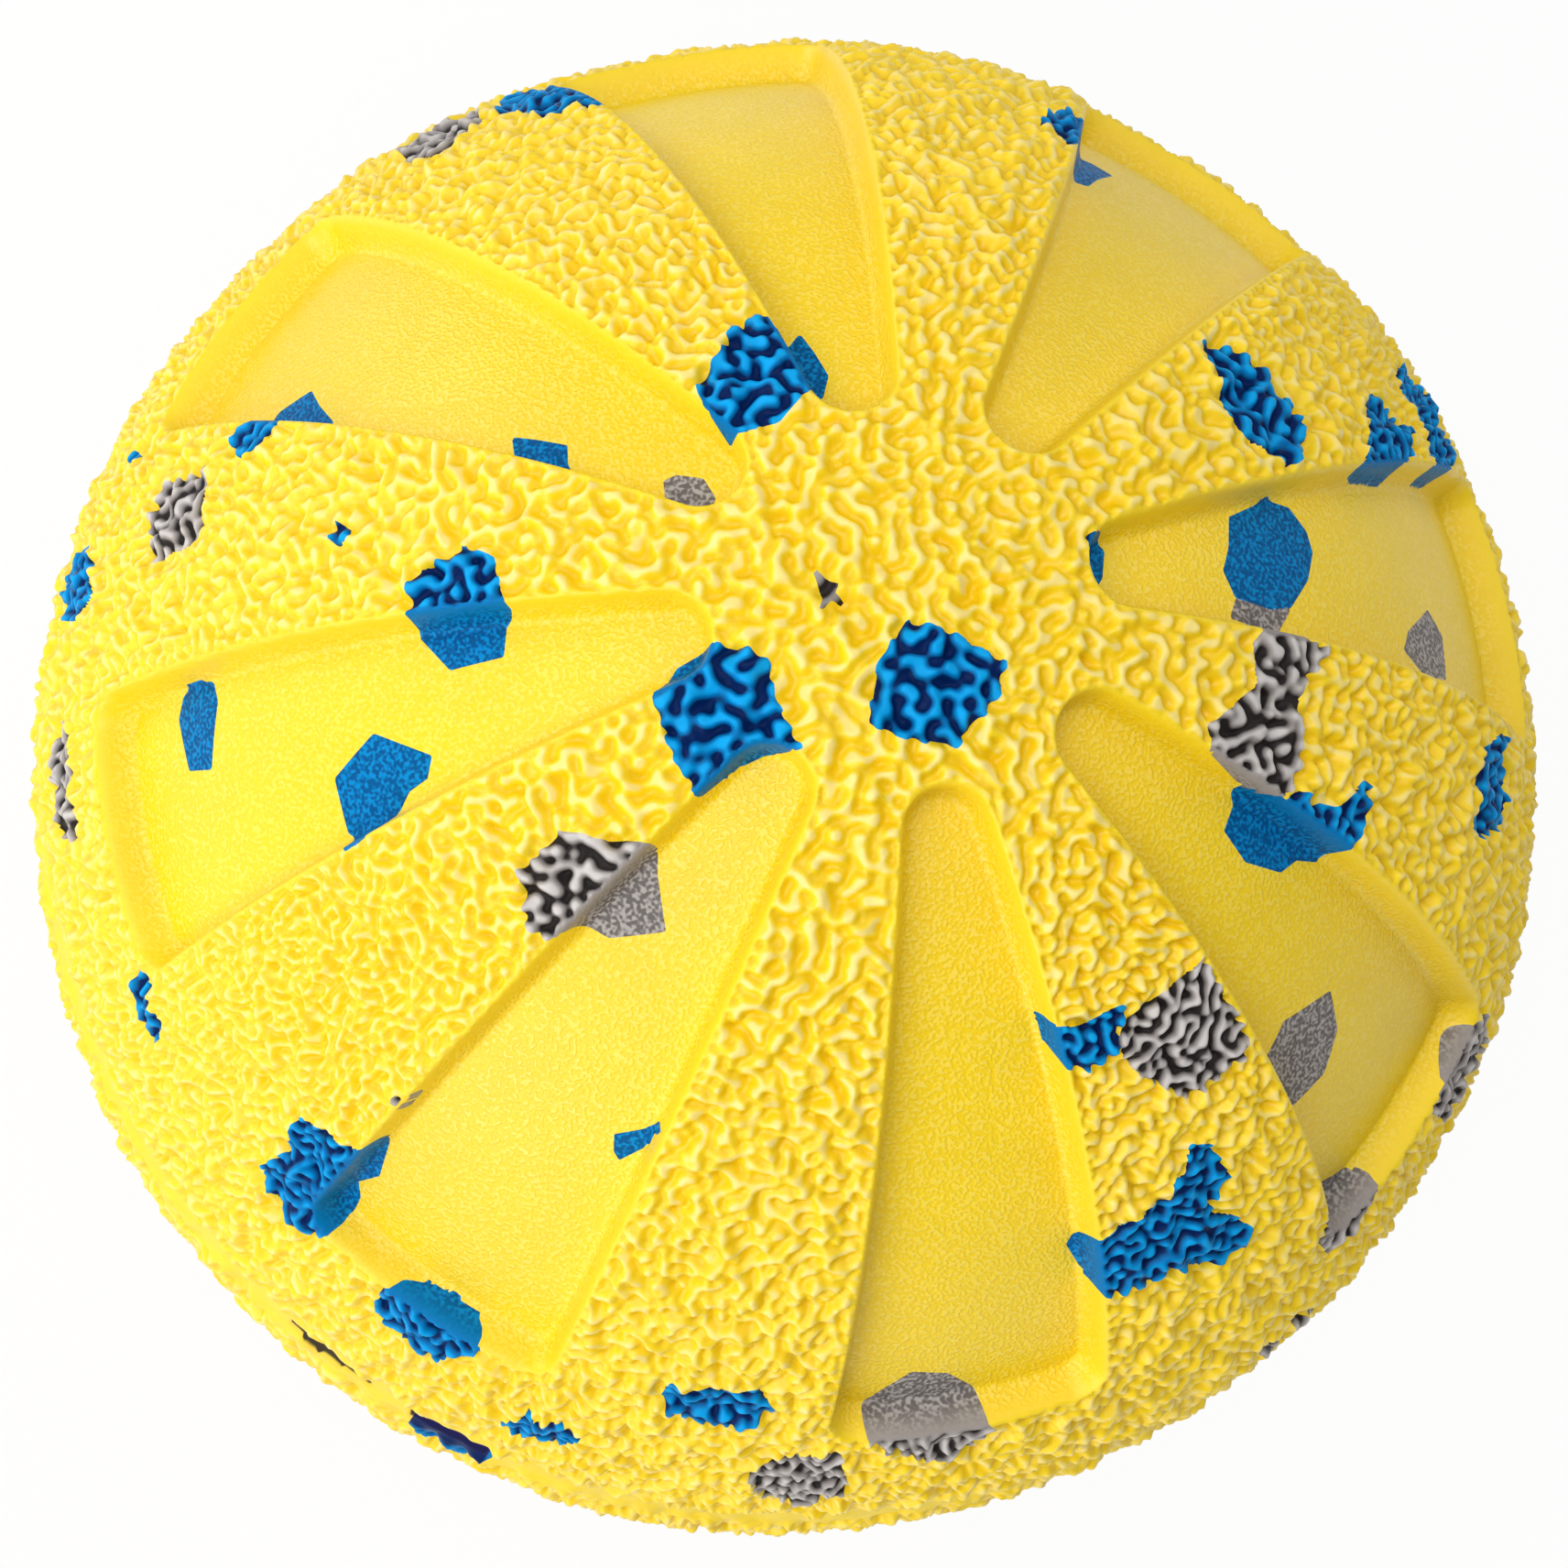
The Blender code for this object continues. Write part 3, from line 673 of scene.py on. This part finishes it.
def build_skin(flakes):
    """The whole skin as arrays: directions, points, faces, each face's flake and the material's fields."""
    directions, faces = geodesic_sphere(SKIN_FREQUENCY)
    directions = directions @ np.array(SKIN_TURN.to_matrix()).T
    edges = mesh_edges(faces)
    near = neighbour_table(faces, len(directions))
    fixed = np.zeros(len(directions), bool)
    height = directions[:, 2].copy()
    snap(directions, edges, height, fixed)
    directions[height == 0, 2] = 0
    for level in (0.0, -PANEL_WALL_RUN):
        snap(directions, edges, panel_distance(directions) - level, fixed)

    ridges = ridge_field(directions, near)
    swells = swell_field(directions, near)
    _, _, ridged, _ = skin_shape(directions, ridges, swells)
    outside, owner = place_flakes(directions, ridges, ridged, flakes)
    snap(directions, edges, outside, fixed)
    radius, relief, _, grained = skin_shape(directions, ridges, swells)
    points = directions * radius[:, None]
    points[:, 2] = np.maximum(points[:, 2], REST_HEIGHT)

    depths = outside[faces]
    in_flake = (depths <= 0).all(axis=1) & (depths < 0).any(axis=1)
    deepest = faces[np.arange(len(faces)), depths.argmin(axis=1)]
    flake_of = np.where(in_flake, owner[deepest], -1)
    return {
        "directions": directions, "points": points, "faces": faces, "radius": radius,
        "flake_of": flake_of, "relief": relief, "grained": grained,
        "pocket_radius": radius.copy(),
        "upper": points[:, 2][faces].sum(axis=1) > 0,
    }


# Materials

def foam_material(name, colours):
    """Moulded foam: painted shade in the valleys, the grain's dips and the open seam, painted highlight on
    the crests and the grain's bumps, a fine moulded grain on the smooth faces, a satin skin.
    """
    material = bpy.data.materials.new(name)
    material.use_nodes = True
    tree = material.node_tree
    shader = tree.nodes["Principled BSDF"]

    def node(kind, **values):
        made = tree.nodes.new(kind)
        for key, value in values.items():
            setattr(made, key, value)
        return made

    def field(label):
        return node("ShaderNodeAttribute", attribute_name=label).outputs["Fac"]

    def remap(source, low, high, to_low=0.0, to_high=1.0):
        made = node("ShaderNodeMapRange", interpolation_type="SMOOTHSTEP")
        tree.links.new(source, made.inputs["Value"])
        for label, value in (("From Min", low), ("From Max", high), ("To Min", to_low), ("To Max", to_high)):
            made.inputs[label].default_value = value
        return made.outputs["Result"]

    def times(a, b):
        made = node("ShaderNodeMath", operation="MULTIPLY")
        tree.links.new(a, made.inputs[0])
        if isinstance(b, float):
            made.inputs[1].default_value = b
        else:
            tree.links.new(b, made.inputs[1])
        return made.outputs[0]

    def mix(share, a, b):
        made = node("ShaderNodeMix", data_type="RGBA")
        tree.links.new(share, made.inputs["Factor"])
        for label, value in (("A", a), ("B", b)):
            socket = next(s for s in made.inputs if s.name == label and s.type == "RGBA")
            if isinstance(value, tuple):
                socket.default_value = (*value, 1.0)
            else:
                tree.links.new(value, socket)
        return next(s for s in made.outputs if s.type == "RGBA")

    place = node("ShaderNodeTexCoord").outputs["Object"]

    def noise(pitch, detail):
        made = node("ShaderNodeTexNoise")
        made.inputs["Scale"].default_value = NOISE_WAVES / pitch
        made.inputs["Detail"].default_value = detail
        tree.links.new(place, made.inputs["Vector"])
        return made.outputs["Fac"]

    speckle = noise(GRAIN_PITCH, 0.0)
    grain = times(remap(speckle, *GRAIN_DIPS), field("grained"))
    # The grain's dips take the valley colour as painted shade, its bumps the crest colour as painted
    # highlight
    grain_shade = times(grain, colours["grain"])
    grain_highlight = times(times(remap(speckle, *GRAIN_HIGHLIGHTS), field("grained")), colours["grain"] / 2)
    cloud = remap(noise(CLOUD_PITCH, CLOUD_DETAIL), *NOISE_SPAN)
    pale = tuple(min(1.0, c * CLOUD_PALENESS) for c in colours["skin"])
    skin = mix(cloud, colours["skin"], pale)
    # Painted shade: the valley colour where the level is low
    skin = mix(remap(field("relief"), VALLEY_SHADE_FROM, colours["valley_shade_level"]), skin, colours["valley_shade"])
    # Painted highlight: the crest colour where the level is high
    skin = mix(remap(field("relief"), *CREST_HIGHLIGHT_LEVELS), skin, colours["crest_highlight"])
    skin = mix(grain_highlight, mix(grain_shade, skin, colours["valley_shade"]), colours["crest_highlight"])
    # Painted shade: the gap colour in the open seam and the groove
    skin = mix(remap(field("relief"), *GAP_SHADE_LEVELS), skin, colours["gap_shade"])
    tree.links.new(skin, shader.inputs["Base Color"])
    satin = remap(noise(SATIN_PITCH, SATIN_DETAIL), *NOISE_SPAN, *SATIN_ROUGHNESS)
    dull = node("ShaderNodeMath", operation="MAXIMUM")
    tree.links.new(satin, dull.inputs[0])
    tree.links.new(remap(field("relief"), *GAP_SHADE_LEVELS, 0.0, GAP_ROUGHNESS), dull.inputs[1])
    tree.links.new(dull.outputs[0], shader.inputs["Roughness"])

    bump = node("ShaderNodeBump")
    bump.inputs["Distance"].default_value = GRAIN_HEIGHT
    bump.invert = True
    tree.links.new(grain, bump.inputs["Height"])
    tree.links.new(bump.outputs["Normal"], shader.inputs["Normal"])
    shader.inputs["Specular IOR Level"].default_value = colours["shine"]
    return material


# Studio

def camera_axes():
    """The camera's right, up and backward directions, before its shift."""
    back = Vector((
        math.cos(CAMERA_ELEVATION) * math.cos(CAMERA_AZIMUTH),
        math.cos(CAMERA_ELEVATION) * math.sin(CAMERA_AZIMUTH),
        math.sin(CAMERA_ELEVATION),
    ))
    turn = back.to_track_quat("Z", "Y").to_matrix() @ Matrix.Rotation(CAMERA_ROLL, 3, "Z")
    return turn.col[0].copy(), turn.col[1].copy(), back


def make_camera():
    """The photograph's camera, aimed at the ball's centre."""
    right, up, back = camera_axes()
    data = bpy.data.cameras.new("photo_camera")
    data.sensor_width = CAMERA_SENSOR
    data.lens = CAMERA_LENS
    data.shift_y = BALL_BELOW_MIDDLE / PHOTO_SIDE
    data.clip_start = CAMERA_NEAR
    camera = bpy.data.objects.new("photo_camera", data)
    camera.matrix_world = Matrix((right, up, back)).transposed().to_4x4()
    camera.location = back * CAMERA_DISTANCE
    bpy.context.scene.collection.objects.link(camera)
    bpy.context.scene.camera = camera


def make_light(name, place, size, energy):
    """A square soft light, placed by how far it stands right of, above and nearer than the ball, as seen."""
    sideways, upwards, towards = place
    right, up, back = camera_axes()
    aim = (right * sideways + up * upwards + back * towards).normalized()
    data = bpy.data.lights.new(name, "AREA")
    data.size = size
    data.energy = energy
    light = bpy.data.objects.new(name, data)
    light.location = aim * LAMP_DISTANCE
    light.rotation_euler = aim.to_track_quat("Z", "Y").to_euler()
    bpy.context.scene.collection.objects.link(light)


def make_world():
    """An even light all round, white where the camera looks past the floor."""
    world = bpy.data.worlds.new("studio")
    bpy.context.scene.world = world
    world.use_nodes = True
    tree = world.node_tree
    background = tree.nodes["Background"]
    background.inputs["Color"].default_value = (1.0, 1.0, 1.0, 1.0)
    path = tree.nodes.new("ShaderNodeLightPath")
    seen = tree.nodes.new("ShaderNodeMapRange")
    seen.inputs["To Min"].default_value = WORLD_STRENGTH
    tree.links.new(path.outputs["Is Camera Ray"], seen.inputs["Value"])
    tree.links.new(seen.outputs["Result"], background.inputs["Strength"])


def make_floor():
    """A white sweep that the camera sees almost white, with the ball's shadow on it."""
    bpy.ops.mesh.primitive_plane_add(size=FLOOR_SIZE, location=(0.0, 0.0, REST_HEIGHT))
    floor = bpy.context.active_object
    floor.name = "floor"
    material = bpy.data.materials.new("white_floor")
    material.use_nodes = True
    tree = material.node_tree
    shader = tree.nodes["Principled BSDF"]
    shader.inputs["Base Color"].default_value = (FLOOR_GREY, FLOOR_GREY, FLOOR_GREY, 1.0)
    shader.inputs["Roughness"].default_value = FLOOR_ROUGHNESS
    glow = tree.nodes.new("ShaderNodeEmission")
    glow.inputs["Strength"].default_value = 1.0
    path = tree.nodes.new("ShaderNodeLightPath")
    share = tree.nodes.new("ShaderNodeMath")
    share.operation = "MULTIPLY"
    share.inputs[1].default_value = FLOOR_WHITENESS
    blend = tree.nodes.new("ShaderNodeMixShader")
    tree.links.new(path.outputs["Is Camera Ray"], share.inputs[0])
    tree.links.new(share.outputs[0], blend.inputs["Fac"])
    tree.links.new(shader.outputs["BSDF"], blend.inputs[1])
    tree.links.new(glow.outputs["Emission"], blend.inputs[2])
    tree.links.new(blend.outputs["Shader"], tree.nodes["Material Output"].inputs["Surface"])
    floor.data.materials.append(material)


def build_ball():
    """Every flake, chip and half as a piece, on the root and in place of its solid."""
    materials = {colour: foam_material(f"{colour}_foam", FOAMS[colour]) for colour in FOAMS}
    flakes = list_flakes()
    skin = build_skin(flakes)
    for number, (name, colour, _, _, base_radius) in enumerate(flakes):
        patch = skin["faces"][skin["flake_of"] == number]
        if len(patch) == 0:
            continue
        members = np.unique(patch)
        if base_radius is None:
            base_radius = skin["radius"][members].min() - CHIP_DEPTH
        skin["pocket_radius"][members] = base_radius - FLAKE_GAP
        piece = flake_piece(f"{name}_foam", skin, patch, base_radius, materials[colour])
        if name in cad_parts:
            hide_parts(name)

    for name, side in (("upper_half", skin["upper"]), ("lower_half", ~skin["upper"])):
        shell = skin["faces"][side & (skin["flake_of"] < 0)]
        pockets = skin["faces"][side & (skin["flake_of"] >= 0)]
        piece = half_piece(f"{name}_foam", skin, shell, pockets, materials["yellow"])
        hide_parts(name)


build_ball()
make_floor()
make_camera()
make_world()
for lamp, (place, size, energy) in LAMPS.items():
    make_light(lamp, place, size, energy)
bpy.context.scene.view_settings.view_transform = "Standard"
